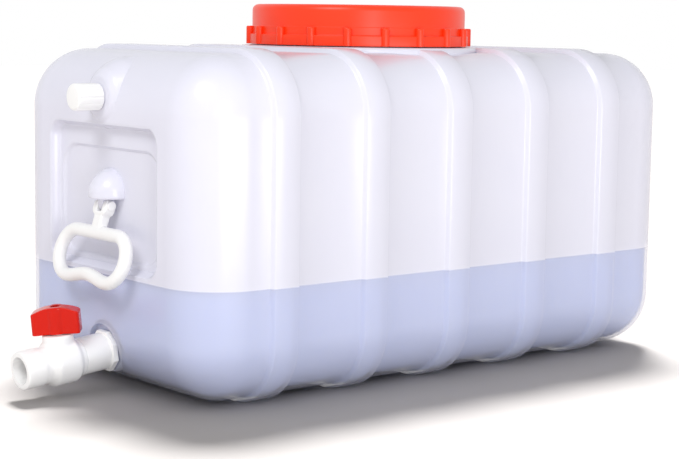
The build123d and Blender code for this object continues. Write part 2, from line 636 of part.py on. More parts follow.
def handle_screw():
    shelf = BONNET_TOP + KNOB_GAP + DRIVE_LENGTH + SCREW_SHELF
    shank = disc_z(SCREW_D, shelf - SCREW_LENGTH, shelf)
    head = disc_z(SCREW_HEAD_D, shelf, shelf + SCREW_HEAD_HEIGHT)
    slot = Pos(0, 0, shelf + SCREW_HEAD_HEIGHT) * Box(SCREW_HEAD_D, SCREW_SLOT, SCREW_HEAD_HEIGHT)
    return on_stem(shank + head - slot)


pieces = {
    "tank_shell": tank_shell(),
    "lid": lid(),
    "inner_lid": inner_lid(),
    "lid_gasket": lid_gasket(),
    "front_handle": pull_handle(),
    "front_handle_pin": handle_pin(),
    "rear_handle": Rot(0, 0, 180) * pull_handle(),
    "rear_handle_pin": Rot(0, 0, 180) * handle_pin(),
    "vent_cap": vent_cap(),
    "vent_seal": vent_seal(),
    "outlet_seal": outlet_seal(),
    "valve_inlet_end": valve_inlet_end(),
    "inlet_o_ring": inlet_o_ring(),
    "valve_body": valve_body(),
    "inlet_seat": seat(180),
    "outlet_seat": seat(0),
    "valve_ball": valve_ball(),
    "valve_stem": valve_stem(),
    "stem_o_rings": stem_o_rings(),
    "valve_handle": valve_handle(),
    "handle_screw": handle_screw(),
}

os.makedirs("parts", exist_ok=True)
for name, shape in pieces.items():
    export_step(shape, f"parts/{name}.step")
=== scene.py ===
# %% [markdown]
# # A portable water tank, dressed for its picture
# The object is a blow-moulded tank for a camper van: a long see-through box with five raised
# bands, a wide red screw lid, a pull handle at each end, a small vent and a white ball valve.
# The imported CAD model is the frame: it says where each piece sits and which body it rides on. This
# file draws the outer pieces again at the same sizes with soft moulded shapes, and gives every
# piece its finish.

# %% Load the frame
import json
from math import atan2, cos, degrees, radians, sin, sqrt, tau

import bmesh
import bpy
from mathutils import Matrix, Vector

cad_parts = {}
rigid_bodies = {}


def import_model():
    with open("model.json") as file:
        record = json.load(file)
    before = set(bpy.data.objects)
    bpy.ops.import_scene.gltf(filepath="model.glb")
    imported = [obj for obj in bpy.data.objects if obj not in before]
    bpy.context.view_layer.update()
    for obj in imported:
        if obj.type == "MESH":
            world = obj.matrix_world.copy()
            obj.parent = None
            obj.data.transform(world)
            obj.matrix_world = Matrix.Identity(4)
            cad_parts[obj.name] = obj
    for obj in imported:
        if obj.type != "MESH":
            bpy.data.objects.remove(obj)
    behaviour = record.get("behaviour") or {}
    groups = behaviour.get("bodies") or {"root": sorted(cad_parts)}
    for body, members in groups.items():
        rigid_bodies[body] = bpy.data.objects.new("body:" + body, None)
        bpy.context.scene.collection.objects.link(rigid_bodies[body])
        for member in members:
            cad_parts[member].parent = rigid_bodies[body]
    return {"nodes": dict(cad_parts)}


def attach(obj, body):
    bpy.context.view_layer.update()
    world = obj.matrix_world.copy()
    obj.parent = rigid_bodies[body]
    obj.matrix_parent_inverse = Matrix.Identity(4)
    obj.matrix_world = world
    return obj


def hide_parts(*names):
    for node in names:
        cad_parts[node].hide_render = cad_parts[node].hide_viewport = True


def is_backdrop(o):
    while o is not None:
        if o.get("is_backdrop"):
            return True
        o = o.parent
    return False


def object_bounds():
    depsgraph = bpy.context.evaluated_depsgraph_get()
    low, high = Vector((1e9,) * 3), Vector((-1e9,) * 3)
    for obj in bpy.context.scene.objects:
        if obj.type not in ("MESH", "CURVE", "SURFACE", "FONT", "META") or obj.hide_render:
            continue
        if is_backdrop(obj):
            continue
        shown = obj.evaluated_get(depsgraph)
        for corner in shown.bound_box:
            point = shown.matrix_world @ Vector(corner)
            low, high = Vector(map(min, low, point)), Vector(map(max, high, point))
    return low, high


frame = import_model()
cad_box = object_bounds()
print("nodes in the frame:", len(frame["nodes"]))

# %% [markdown]
# ## Small helpers
# Sizes are written in millimetres, because that is how a maker reads them, and turned to metres
# once. A finished piece sits at the origin with its place in its mesh, so that patterns on Object
# coordinates stay where they are when the piece moves.

# %% Making, baking and joining meshes
MM = 0.001
TINY = 1e-6


def piece_of(name, points, faces):
    """A mesh object from points in millimetres and lists of point numbers."""
    mesh = bpy.data.meshes.new(name)
    mesh.from_pydata([Vector(p) * MM for p in points], [], faces)
    made = bpy.data.objects.new(name, mesh)
    bpy.context.scene.collection.objects.link(made)
    return made


def tidy(piece, merge=0.002):
    """Merges points that lie together and turns every face outwards."""
    shape = bmesh.new()
    shape.from_mesh(piece.data)
    bmesh.ops.remove_doubles(shape, verts=shape.verts, dist=merge * MM)
    bmesh.ops.dissolve_degenerate(shape, edges=shape.edges, dist=merge * MM / 10)
    bmesh.ops.recalc_face_normals(shape, faces=shape.faces)
    shape.to_mesh(piece.data)
    shape.free()
    return piece


def settle(piece):
    """Bakes a piece's modifiers into its mesh."""
    seen = piece.evaluated_get(bpy.context.evaluated_depsgraph_get())
    baked = bpy.data.meshes.new_from_object(seen)
    piece.modifiers.clear()
    piece.data = baked
    return piece


def combine(piece, operation, *tools):
    """Adds tools to a piece (UNION), cuts them off (DIFFERENCE) or keeps what they share."""
    for tool in tools:
        step = piece.modifiers.new("step", "BOOLEAN")
        step.object, step.operation, step.solver = tool, operation, "MANIFOLD"
        settle(piece)
        bpy.data.objects.remove(tool)
    return piece


def moved(piece, x=0.0, y=0.0, z=0.0, turn=0.0, axis="Z"):
    """Turns a piece's mesh round the origin and shifts it, in degrees and millimetres."""
    shift = Matrix.Translation(Vector((x, y, z)) * MM)
    piece.data.transform(shift @ Matrix.Rotation(radians(turn), 4, axis))
    return piece


def moulded(piece, voxel, rounds):
    """Rebuilds a piece as one skin with soft inner corners, as plastic fills a mould."""
    skin = piece.modifiers.new("skin", "REMESH")
    skin.mode, skin.voxel_size, skin.adaptivity = "VOXEL", voxel * MM, 0
    soften = piece.modifiers.new("soften", "CORRECTIVE_SMOOTH")
    soften.iterations, soften.use_only_smooth, soften.scale = rounds, True, 0
    return settle(piece)


print("helpers ready")

# %% [markdown]
# ## Profiles with eased corners
# Turned pieces such as the lid, the neck and the valve are spun from a half profile. Moulded
# plastic has no sharp corner, so each profile point may carry a rounding radius, which is drawn
# as a short arc before the profile is spun.

# %% Rounding a profile and turning it
def eased(corners, steps=5):
    """A closed outline whose corners (x, y, radius) are drawn as arcs."""
    outline = []
    for i, (x, y, r) in enumerate(corners):
        here = Vector((x, y))
        back = Vector(corners[i - 1][:2]) - here
        ahead = Vector(corners[(i + 1) % len(corners)][:2]) - here
        if r <= 0:
            outline.append(here)
            continue
        half = back.angle(ahead) / 2
        reach = r / max(sin(half) / cos(half), TINY)
        centre = here + (back.normalized() + ahead.normalized()).normalized() * r / sin(half)
        start = here + back.normalized() * reach - centre
        stop = here + ahead.normalized() * reach - centre
        turn = start.angle_signed(stop)
        outline += [centre + Matrix.Rotation(-turn * s / steps, 2) @ start for s in range(steps + 1)]
    return outline


AXES = {
    "Z": Matrix.Identity(3),
    "-X": Matrix(((0, 0, -1), (0, 1, 0), (1, 0, 0))),
    "-Y": Matrix(((1, 0, 0), (0, 0, -1), (0, 1, 0))),
}


def turned(name, outline, at, axis="Z", sides=96):
    """Spins a closed outline (radius, height) round an axis through a point."""
    points, faces, count = [], [], len(outline)
    for k in range(sides):
        a = tau * k / sides
        points += [Vector((p[0] * cos(a), p[0] * sin(a), p[1])) for p in outline]
        for i in range(count):
            j, turn_on = (i + 1) % count, (k + 1) % sides * count
            faces.append((k * count + i, k * count + j, turn_on + j, turn_on + i))
    return tidy(piece_of(name, [AXES[axis] @ p + Vector(at) for p in points], faces))


def bar(name, d, start, stop, at, axis="Z", sides=96):
    """A plain round bar from start to stop along an axis, used as a tool for boring."""
    return turned(name, [(0, start), (d / 2, start), (d / 2, stop), (0, stop)], at, axis, sides)


test_edge = eased([(0, 0, 0), (9, 0, 2), (9, 5, 0)])
print("profile of a test edge:", [tuple(round(c, 2) for c in p) for p in test_edge[:4]])

# %% [markdown]
# ## The tank's blown body
# The real body is blown like a bottle: a tube of hot plastic swells against a cold mould, so
# every edge is round and every step is soft. Rounding a cube with a modifier would lose the exact
# radii, so the skin is laid out as cross-sections along the length. Each point knows its core and
# its outward direction, and the bands and the end recess push it out or in with a smooth step.

# %% Sizes of the body
# All in millimetres. The core is the box that the round edges are laid round.
HALF_LENGTH, HALF_WIDTH, HALF_HEIGHT = 300, 159, 152.5
MID_Z, EDGE_R, END_R, WALL = 157.0, 54.0, 53.0, 3.0
CORE_X, CORE_Y, CORE_Z = HALF_LENGTH - END_R, HALF_WIDTH - EDGE_R, HALF_HEIGHT - EDGE_R
BAND_FIRST, BAND_PITCH, BAND_COUNT = -212.8, 102.4, 5
BAND_CENTRES = [BAND_FIRST + BAND_PITCH * i for i in range(BAND_COUNT)]
BAND_HALF, BAND_PROUD, BAND_SLOPE = 16.4, 4.5, 3.8
RECESS = dict(half=90, low=-44.5, high=87.5, corner=16, depth=9, slope=5)
ARCH = dict(half=82, low=-36.5, high=66.5, corner=24, depth=2.5, slope=3)


def smooth_step(t):
    """From 0 to 1 with a soft start and a soft end."""
    t = min(max(t, 0.0), 1.0)
    return t * t * (3 - 2 * t)


def band_rise(x, inset):
    """How far a band stands out of the side at this length."""
    off = min(abs(x - c) for c in BAND_CENTRES)
    return BAND_PROUD * smooth_step((BAND_HALF - inset - off) / BAND_SLOPE)


def pocket_sink(y, z, inset, half, low, high, corner, depth, slope):
    """How deep a rounded pocket of the end goes at this place."""
    middle, tall = (low + high) / 2, (high - low) / 2
    across = abs(y) - half - inset + corner
    up = abs(z - middle) - tall - inset + corner
    edge = corner - sqrt(max(across, 0) ** 2 + max(up, 0) ** 2) - min(max(across, up), 0)
    return depth * smooth_step(edge / slope)


def end_sink(y, z, inset):
    """The recess in the end, with its shallower arch inside."""
    return pocket_sink(y, z, inset, **RECESS) + pocket_sink(y, z, inset, **ARCH)


print("band rises", band_rise(-8, 0), "mm; end sinks", end_sink(0, 0, 0), "mm")

# %% Laying out the skin
ARC_STEPS, SLOPE_STEPS = 8, 3


def lines(stops):
    """Numbers in equal steps: (from, step count, to, step count, to, ...)."""
    made = [stops[0]]
    for count, stop in zip(stops[1::2], stops[2::2]):
        first = made[-1]
        made += [first + (stop - first) * (i + 1) / count for i in range(count)]
    return made


def tank_skin(name, inset, fine):
    """The closed skin of the body, drawn in by inset. fine is how many times denser it is.

    The end's lines lie close where the recess has its edges and wide apart elsewhere."""
    ys = lines([-CORE_Y, 2 * fine, -96, 14 * fine, -56, 14 * fine, 56, 14 * fine, 96,
                2 * fine, CORE_Y])
    zs = lines([-CORE_Z, 12 * fine, -50, 11 * fine, -18, 14 * fine, 38, 21 * fine, 92,
                2 * fine, CORE_Z])
    xs = [-CORE_X]
    for c in BAND_CENTRES:
        flat = BAND_HALF - inset - BAND_SLOPE
        for side in (-1, 1):
            for i in range(SLOPE_STEPS * fine + 1):
                step = BAND_SLOPE * i / (SLOPE_STEPS * fine)
                xs.append(c + side * (flat + (step if side > 0 else BAND_SLOPE - step)))
    xs = sorted(set(round(x, 4) for x in xs + [CORE_X]))
    turn = ARC_STEPS * fine
    arcs = [radians(90 * i / turn) for i in range(1, turn)]
    loop = [(y, -CORE_Z, 0.0, -1.0) for y in ys]
    loop += [(CORE_Y, -CORE_Z, sin(a), -cos(a)) for a in arcs]
    loop += [(CORE_Y, z, 1.0, 0.0) for z in zs]
    loop += [(CORE_Y, CORE_Z, cos(a), sin(a)) for a in arcs]
    loop += [(y, CORE_Z, 0.0, 1.0) for y in reversed(ys)]
    loop += [(-CORE_Y, CORE_Z, -sin(a), cos(a)) for a in arcs]
    loop += [(-CORE_Y, z, -1.0, 0.0) for z in reversed(zs)]
    loop += [(-CORE_Y, -CORE_Z, -cos(a), -sin(a)) for a in arcs]
    points, faces = [], []

    def ring(x, side_r, rise):
        reach = side_r + rise
        points.extend((x, cy + reach * dy, MID_Z + cz + reach * dz) for cy, cz, dy, dz in loop)

    tilts = [radians(90 * i / turn) for i in range(turn, 0, -1)]
    for a in tilts:
        ring(-CORE_X - (END_R - inset) * sin(a), (EDGE_R - inset) * cos(a), 0)
    for x in xs:
        ring(x, EDGE_R - inset, band_rise(x, inset))
    for a in reversed(tilts):
        ring(CORE_X + (END_R - inset) * sin(a), (EDGE_R - inset) * cos(a), 0)
    count, rings = len(loop), 2 * turn + len(xs)
    for r in range(rings - 1):
        for i in range(count):
            j = (i + 1) % count
            faces.append((r * count + i, r * count + j, (r + 1) * count + j, (r + 1) * count + i))
    for side in (-1, 1):
        first = len(points)
        for y in ys:
            for z in zs:
                x = side * (CORE_X + END_R - inset - end_sink(y, z, inset))
                points.append((x, y, MID_Z + z))
        wide = len(zs)
        for i in range(len(ys) - 1):
            for j in range(wide - 1):
                at = first + i * wide + j
                faces.append((at, at + 1, at + wide + 1, at + wide))
    return tidy(piece_of(name, points, faces))


tank = tank_skin("water_tank", 0, 2)
print("outer skin faces:", len(tank.data.polygons))

# %% [markdown]
# ## Collar, neck, vent and outlet
# The filling neck stands on a wide flat collar, and the vent and the outlet are small necks on
# round seats. They are turned from profiles with eased corners and joined to the body, and then
# the hollow and the bores are cut, so the wall is 3 mm as in the real one. The outlet sits in a
# round pocket and leans down by six degrees, with everything that is screwed on it.

# %% Necks and seats of the body
OUTLET, VENT = (0, 0, 37.0), (0, 0, 268.5)
DROOP = 6.0


def drooped(piece):
    """Leans a piece that was made on a level outlet down with it from the body's end."""
    moved(piece, HALF_LENGTH, 0, -OUTLET[2])
    moved(piece, turn=-DROOP, axis="Y")
    return moved(piece, -HALF_LENGTH, 0, OUTLET[2])


collar = turned("collar", eased([
    (0, 282.5, 0), (118, 282.5, 0), (118, 314.5, 3), (100, 314.5, 2.5), (100, 343.5, 1), (0, 343.5, 0),
]), (0, 0, 0), sides=192)
vent_neck = turned("vent_neck", eased([
    (0, 246, 0), (40, 246, 0), (34, 284, 30), (25, 298, 12), (19, 302.5, 6), (9, 302.5, 3),
    (9, 324, 0.8), (0, 324, 0),
]), VENT, "-X", 96)
pocket = drooped(turned("outlet_pocket", eased([
    (0, 292, 0), (23.5, 292, 3), (25, 297, 4), (28, 304, 0), (28, 325, 0), (0, 325, 0),
]), OUTLET, "-X", 96))
outlet_neck = drooped(turned("outlet_neck", eased([
    (0, 246, 0), (28, 246, 0), (21, 292, 2.5), (13.2, 292, 0.6), (13.2, 314, 0.6), (0, 314, 0),
]), OUTLET, "-X", 96))
combine(tank, "DIFFERENCE", pocket)
combine(tank, "UNION", collar, vent_neck, outlet_neck)
print("with its necks:", len(tank.data.polygons))

# %% [markdown]
# ## The ear for the handle
# In each recess a drop-shaped nose stands out of the wall, with a thin drilled tongue below it
# that the handle's fork straddles. The nose is turned, the tongue is a small rounded slab, and
# both are rebuilt as one skin, so that they melt into each other as a moulding does.

# %% Nose and tongue
PIVOT = (-296.0, 0.0, 170.5)
NOSE_X, NOSE_R, NOSE_SHOULDER, NOSE_TALL = -288.5, 21.5, 13, 34
TONGUE_THICK, PIN_HOLE_D = 7.4, 6.16


def slab(name, outline, thick, plane="XZ"):
    """A plate cut from an outline, its middle plane through the origin."""
    count = len(outline)
    place = {
        "XZ": lambda u, v, w: (u, w, v),
        "XY": lambda u, v, w: (u, v, w),
        "YZ": lambda u, v, w: (w, u, v),
    }[plane]
    points = [place(p[0], p[1], side * thick / 2) for side in (-1, 1) for p in outline]
    faces = [tuple(range(count))[::-1], tuple(range(count, 2 * count))]
    faces += [(i, (i + 1) % count, count + (i + 1) % count, count + i) for i in range(count)]
    return tidy(piece_of(name, points, faces))


def ear(turn):
    """The nose with its tongue, turned round the Z axis to one end."""
    rise = [(NOSE_R * (1 - t ** 1.7) ** 0.6, NOSE_SHOULDER + (NOSE_TALL - NOSE_SHOULDER) * t)
            for t in (i / 12 for i in range(1, 12))]
    side = [(0, 6.5), (NOSE_R - 1, 6.5), (NOSE_R, 7.5), (NOSE_R, NOSE_SHOULDER)]
    nose = turned("nose", [*side, *rise, (0, NOSE_TALL)], (NOSE_X, 0, PIVOT[2]), sides=64)
    tongue = slab("tongue", eased([(13, -5, 0), (-5, -5, 5), (-5, 8, 0), (13, 8, 0)], 10), TONGUE_THICK)
    combine(nose, "UNION", moved(tongue, *PIVOT))
    moulded(nose, 0.7, 4)
    return moved(nose, turn=turn)


combine(tank, "UNION", ear(0), ear(180))
print("with its ears:", len(tank.data.polygons))

# %% Hollow and bores
hollow = tank_skin("hollow", WALL, 1)
rooms = [
    turned("collar_room", [(0, 282.5), (115, 282.5), (115, 311.5), (0, 311.5)], (0, 0, 0), sides=96),
    turned("vent_room", [(0, 246), (28, 246), (18, 299.5), (0, 299.5)], VENT, "-X", 48),
    drooped(turned("outlet_room", [(0, 246), (25, 246), (18, 289), (0, 289)], OUTLET, "-X", 48)),
    bar("neck_bore", 192, 255.5, 345, (0, 0, 0), sides=160),
    bar("vent_bore", 12.6, 296, 326, VENT, "-X", 48),
    drooped(bar("outlet_bore", 19, 286, 316, OUTLET, "-X", 48)),
]
combine(hollow, "DIFFERENCE", drooped(bar("pocket_wall", 56, 289, 325, OUTLET, "-X", 64)))
combine(hollow, "UNION", *rooms)
combine(tank, "DIFFERENCE", hollow)
for x in (PIVOT[0], -PIVOT[0]):
    combine(tank, "DIFFERENCE", bar("pin_hole", PIN_HOLE_D, -8, 8, (x, 0, PIVOT[2]), "-Y", 40))
print("hollow tank faces:", len(tank.data.polygons))

# %% [markdown]
# ## Screw threads
# A thread is a ridge that climbs as it goes round. It is drawn as a strip of trapezoid sections
# along a helix, with ends that fade out, and joined to the neck or to the inside of the cap. The
# two ridges of a pair lie half a pitch apart, so that the cap can turn without the ridges meeting.

# %% Drawing a thread ridge
BITE, FADE_TURN, THINNEST = 0.3, 0.1, 0.02


def thread(name, root_r, crest_r, pitch, turns, start, width, at, axis="Z", per_turn=72):
    """A helical ridge from root_r to crest_r (inwards if crest_r is smaller).

    It bites a little into what it stands on, and fades out over a tenth of a turn."""
    points, faces = [], []
    steps = int(per_turn * turns)
    foot_r = root_r - (BITE if crest_r > root_r else -BITE)
    for k in range(steps + 1):
        a = tau * k / per_turn
        fade = smooth_step(min(k, steps - k) / (per_turn * FADE_TURN))
        crest = root_r + (crest_r - root_r) * max(fade, THINNEST)
        middle = start + pitch * k / per_turn
        corners = ((foot_r, -width / 2), (crest, -width / 5), (crest, width / 5), (foot_r, width / 2))
        for r, h in corners:
            points.append(AXES[axis] @ Vector((r * cos(a), r * sin(a), middle + h)) + Vector(at))
    for k in range(steps):
        for i in range(4):
            j = (i + 1) % 4
            faces.append((4 * k + i, 4 * k + j, 4 * k + 4 + j, 4 * k + 4 + i))
    faces += [(0, 1, 2, 3), tuple(4 * steps + i for i in (3, 2, 1, 0))]
    return tidy(piece_of(name, points, faces), 0.0001)


combine(tank, "UNION",
        thread("neck_thread", 100, 102, 8, 1.5, 325, 3.6, (0, 0, 0)),
        thread("vent_thread", 9, 9.5, 3, 2.5, 310, 1.3, VENT, "-X", 48))
print("finished tank faces:", len(tank.data.polygons))

# %% [markdown]
# ## The lid with its grip lugs
# The lid is a wide cap with a low skirt and nineteen upright half-round lugs. One lug is made,
# and Geometry Nodes set it round the lid: the piece, the count and the first angle are inputs of
# the tree, so the same tree also sets the flutes of the vent cap.

# %% A tree that repeats a piece round an axis
def add(tree, kind, inputs=(), **settings):
    """Adds a node; each input is a plain value or another node's output."""
    made = tree.nodes.new(kind)
    for name, value in settings.items():
        setattr(made, name, value)
    for name, value in dict(inputs).items():
        if isinstance(value, bpy.types.NodeSocket):
            tree.links.new(value, made.inputs[name])
        else:
            made.inputs[name].default_value = value
    return made


ring_tree = bpy.data.node_groups.new("ring_of_pieces", "GeometryNodeTree")
for name, kind in (("Piece", "NodeSocketObject"), ("Count", "NodeSocketInt"),
                   ("First angle", "NodeSocketFloat"), ("Material", "NodeSocketMaterial")):
    ring_tree.interface.new_socket(name, in_out="INPUT", socket_type=kind)
ring_tree.interface.new_socket("Mesh", in_out="OUTPUT", socket_type="NodeSocketGeometry")
given = add(ring_tree, "NodeGroupInput").outputs
spots = add(ring_tree, "GeometryNodeMeshLine", {"Count": given["Count"], "Offset": (0, 0, 0)})
number = add(ring_tree, "GeometryNodeInputIndex").outputs[0]
share = add(ring_tree, "ShaderNodeMath", {0: number, 1: given["Count"]}, operation="DIVIDE").outputs[0]
angle = add(ring_tree, "ShaderNodeMath", {0: share, 1: tau, 2: given["First angle"]},
            operation="MULTIPLY_ADD").outputs[0]
turn = add(ring_tree, "FunctionNodeEulerToRotation", {
    "Euler": add(ring_tree, "ShaderNodeCombineXYZ", {"Z": angle}).outputs[0]}).outputs[0]
one = add(ring_tree, "GeometryNodeObjectInfo", {"Object": given["Piece"]},
          transform_space="ORIGINAL").outputs["Geometry"]
many = add(ring_tree, "GeometryNodeInstanceOnPoints", {
    "Points": spots.outputs[0], "Instance": one, "Rotation": turn}).outputs[0]
real = add(ring_tree, "GeometryNodeRealizeInstances", {"Geometry": many}).outputs[0]
painted = add(ring_tree, "GeometryNodeSetMaterial", {
    "Geometry": real, "Material": given["Material"]}).outputs[0]
add(ring_tree, "NodeGroupOutput", {"Mesh": painted})


def ring_of(piece, count, first_degrees):
    """The piece repeated round the Z axis, as one plain mesh."""
    holder = piece_of(piece.name + "_ring", [(0, 0, 0)], [])
    modifier = holder.modifiers.new("ring", "NODES")
    modifier.node_group = ring_tree
    sockets = {s.name: s.identifier for s in ring_tree.interface.items_tree if s.in_out == "INPUT"}
    modifier[sockets["Piece"]] = piece
    modifier[sockets["Count"]] = count
    modifier[sockets["First angle"]] = radians(first_degrees)
    settle(holder)
    bpy.data.objects.remove(piece)
    return tidy(holder)


print("ring tree inputs:", [s.name for s in ring_tree.interface.items_tree if s.in_out == "INPUT"])

# %% The lid
LID_BORE_R, LUG_AT_R, LUG_COUNT, LUG_FIRST = 103.3, 108.5, 19, 224.5

# The press ring's foot stops a hair above the inner lid, so the two never share a face.
lid = turned("screw_lid", eased([
    (0, 353.3, 0), (92.2, 353.3, 0.6), (93, 354.5, 0.6), (106.1, 354.5, 6.0), (106.1, 333.4, 0.2),
    (106.5, 333.0, 0.2), (106.5, 325.5, 0.6), (109.5, 325.5, 0.8), (109.5, 315.5, 0.5),
    (LID_BORE_R, 315.5, 0.8), (LID_BORE_R, 351, 1.5),
    (99.5, 351, 0), (99.5, 349.55, 0.3), (95.5, 349.55, 0.3), (95.5, 351, 0), (0, 351, 0),
]), (0, 0, 0), sides=228)
lug = turned("lug", eased([(0, 315.5, 0), (4, 315.5, 0.5), (4, 333, 1.4), (0, 333, 0)]),
             (LUG_AT_R, 0, 0), sides=28)
combine(lid, "UNION", ring_of(lug, LUG_COUNT, LUG_FIRST),
        thread("lid_thread", LID_BORE_R, 101.2, 8, 1.4, 321, 3.2, (0, 0, 0)))
print("lid faces:", len(lid.data.polygons))

# %% [markdown]
# ## The pull handles
# Each handle is one moulding: a kidney-shaped ring of round bar, a short stem and a forked head
# with round cheeks. The ring is a curve with a round bevel, and all of it is rebuilt as one skin.
# It leans out a little, because its hinge is stiff.

# %% Ring, fork and pin
LEAN, BAR_R, PIN_D = 17.0, 6.25, 6.0
GRIP_HALF, GRIP_TOP, GRIP_LOW, GRIP_WAIST = 55.0, 25.5, 68.5, 4.5
RING_R = (GRIP_LOW - GRIP_TOP) / 2


def arc(cx, cy, r, start, stop, steps):
    """Points on an arc, with its ends given in degrees."""
    return [(cx + r * cos(radians(start + (stop - start) * i / steps)),
             cy + r * sin(radians(start + (stop - start) * i / steps))) for i in range(steps + 1)]


def kidney():
    """Half of the ring's middle line, from the top middle to the bottom middle."""
    straight = GRIP_HALF - RING_R
    middle = -(GRIP_LOW + GRIP_TOP) / 2
    half = [(0, -GRIP_TOP), (straight / 2, -GRIP_TOP)] + arc(straight, middle, RING_R, 90, -90, 16)
    half += [(straight * (1 - t), -GRIP_LOW + GRIP_WAIST * smooth_step(t))
             for t in (i / 10 for i in range(1, 11))]
    return half


def handle(name, turn):
    """A whole pull handle, leaning out under its pivot, turned round the Z axis to one end."""
    half = kidney()
    route = half + [(-y, z) for y, z in reversed(half[1:-1])]
    line = bpy.data.curves.new("bar_line", "CURVE")
    line.dimensions, line.bevel_depth, line.bevel_resolution = "3D", BAR_R * MM, 6
    path = line.splines.new("POLY")
    path.points.add(len(route) - 1)
    for spot, (y, z) in zip(path.points, route):
        spot.co = (0, y * MM, z * MM, 1)
    path.use_cyclic_u = True
    tube = bpy.data.objects.new("bar_line", line)
    bpy.context.scene.collection.objects.link(tube)
    ring = bpy.data.objects.new(name, bpy.data.meshes.new_from_object(
        tube.evaluated_get(bpy.context.evaluated_depsgraph_get())))
    bpy.context.scene.collection.objects.link(ring)
    bpy.data.objects.remove(tube)
    tidy(ring)
    front = eased([(-5.5, -10, 2), (5.5, -10, 2), (5.5, 5.5, 5.4), (-5.5, 5.5, 5.4)], 8)
    head = slab("head", front, 22)
    cheeks = eased([(-11, -10, 6.5), (11, -10, 6.5), (11, 5.5, 5.5), (-11, 5.5, 5.5)], 8)
    combine(head, "INTERSECT", slab("cheeks", cheeks, 12, "YZ"))
    stem = slab("stem", eased([(-6.5, -26, 0), (6.5, -26, 0), (6.5, -5, 0), (-6.5, -5, 0)]), 9.6, "YZ")
    combine(ring, "UNION", head, stem)
    slot = slab("slot", eased([(-12, -6, 0), (12, -6, 0), (12, 12, 0), (-12, 12, 0)]), 8.0)
    combine(ring, "DIFFERENCE", slot)
    moulded(ring, 0.7, 6)
    combine(ring, "DIFFERENCE", bar("hole", PIN_D, -12, 12, (0, 0, 0), "-Y", 40))
    moved(ring, turn=LEAN, axis="Y")
    moved(ring, *PIVOT)
    return moved(ring, turn=turn)


def pin(name, turn):
    """The headed pin of one handle."""
    side = [(0, -11, 0), (PIN_D / 2, -11, 0.5), (PIN_D / 2, 11, 0),
            (4.5, 11, 0.3), (4.5, 12.5, 1.0), (0, 12.5, 0)]
    return moved(turned(name, eased(side), PIVOT, "-Y", 48), turn=turn)


front_handle, rear_handle = handle("pull_handle_front", 0), handle("pull_handle_rear", 180)
front_pin, rear_pin = pin("handle_pin_front", 0), pin("handle_pin_rear", 180)
print("handle faces:", len(front_handle.data.polygons))

# %% [markdown]
# ## The ball valve
# The valve's outside is two mouldings: the inlet end with its wrench flats, screwed on the tank's
# outlet, and the body with the round ball chamber, the bonnet and the open socket. They are turned
# and joined, then the body is rebuilt as one skin so that the bonnet flows into the chamber, and
# last the bores are cut clean, as they are machined or cored in the real one.

# %% Valve body and inlet end
BALL_X = -343.0
STEM_AT = (BALL_X, 0, OUTLET[2])
body = turned("valve_body", eased([
    (0, 324, 0), (17.5, 324, 0.4), (17.5, 328, 1.0), (21, 332.5, 4), (21, 353.5, 4), (16.9, 359, 2.5),
    (16.9, 364, 1.0), (17.5, 366, 1.0), (17.5, 384, 0.6), (0, 384, 0),
]), OUTLET, "-X", 96)
bonnet = turned("bonnet", eased([(0, 0, 0), (14, 0, 0), (14, 25.5, 1.0), (0, 25.5, 0)]),
                STEM_AT, "Z", 72)
combine(body, "UNION", bonnet)
moulded(body, 0.75, 5)
combine(body, "DIFFERENCE",
        bar("chamber_bore", 28.6, 323, 356, OUTLET, "-X"),
        bar("seat_bore", 18.5, 355, 363, OUTLET, "-X"),
        bar("socket_bore", 25.2, 362, 385, OUTLET, "-X"),
        bar("stem_bore", 12, 0, 27, STEM_AT, "Z", 64),
        bar("flange_room", 14.5, 0, 16.5, STEM_AT, "Z", 64))
drooped(body)

inlet = turned("valve_inlet_end", eased([
    (0, 293, 0), (17, 293, 0.8), (17, 324, 0.6), (14.2, 324, 0), (14.2, 326.1, 0), (12.4, 326.1, 0),
    (12.4, 327.9, 0), (14.2, 327.9, 0), (14.2, 330, 0.3), (0, 330, 0),
]), OUTLET, "-X", 96)
# Eight flats for a wrench, turned by half a flat so that one of them lies on top.
flats = turned("flats", eased([(0, 293, 0), (19.75, 293, 1.2), (19.75, 299, 1.2), (0, 299, 0)]),
               (0, 0, 0), "-X", 8)
moved(flats, turn=22.5, axis="X")
combine(inlet, "UNION", moved(flats, 0, 0, OUTLET[2]))
combine(inlet, "DIFFERENCE",
        bar("spigot_bore", 26.6, 292, 316, OUTLET, "-X"),
        bar("water_bore", 19, 315, 331, OUTLET, "-X"))
drooped(inlet)
print("valve faces:", len(body.data.polygons), len(inlet.data.polygons))

# %% [markdown]
# ## The butterfly handle
# Seen from above it is a bow tie, seen from the side its top is a low arch. The outline is cut by
# the arch, rebuilt as one skin for the soft edges, and the pockets in its flanks and the screw's
# hole are cut last.

# %% Knob
KNOB_TURN = -38.5
KNOB_Z = OUTLET[2] + 26.5
HALF_SPAN, KNOB_TALL, ARCH_RISE = 21.5, 24.5, 5.5


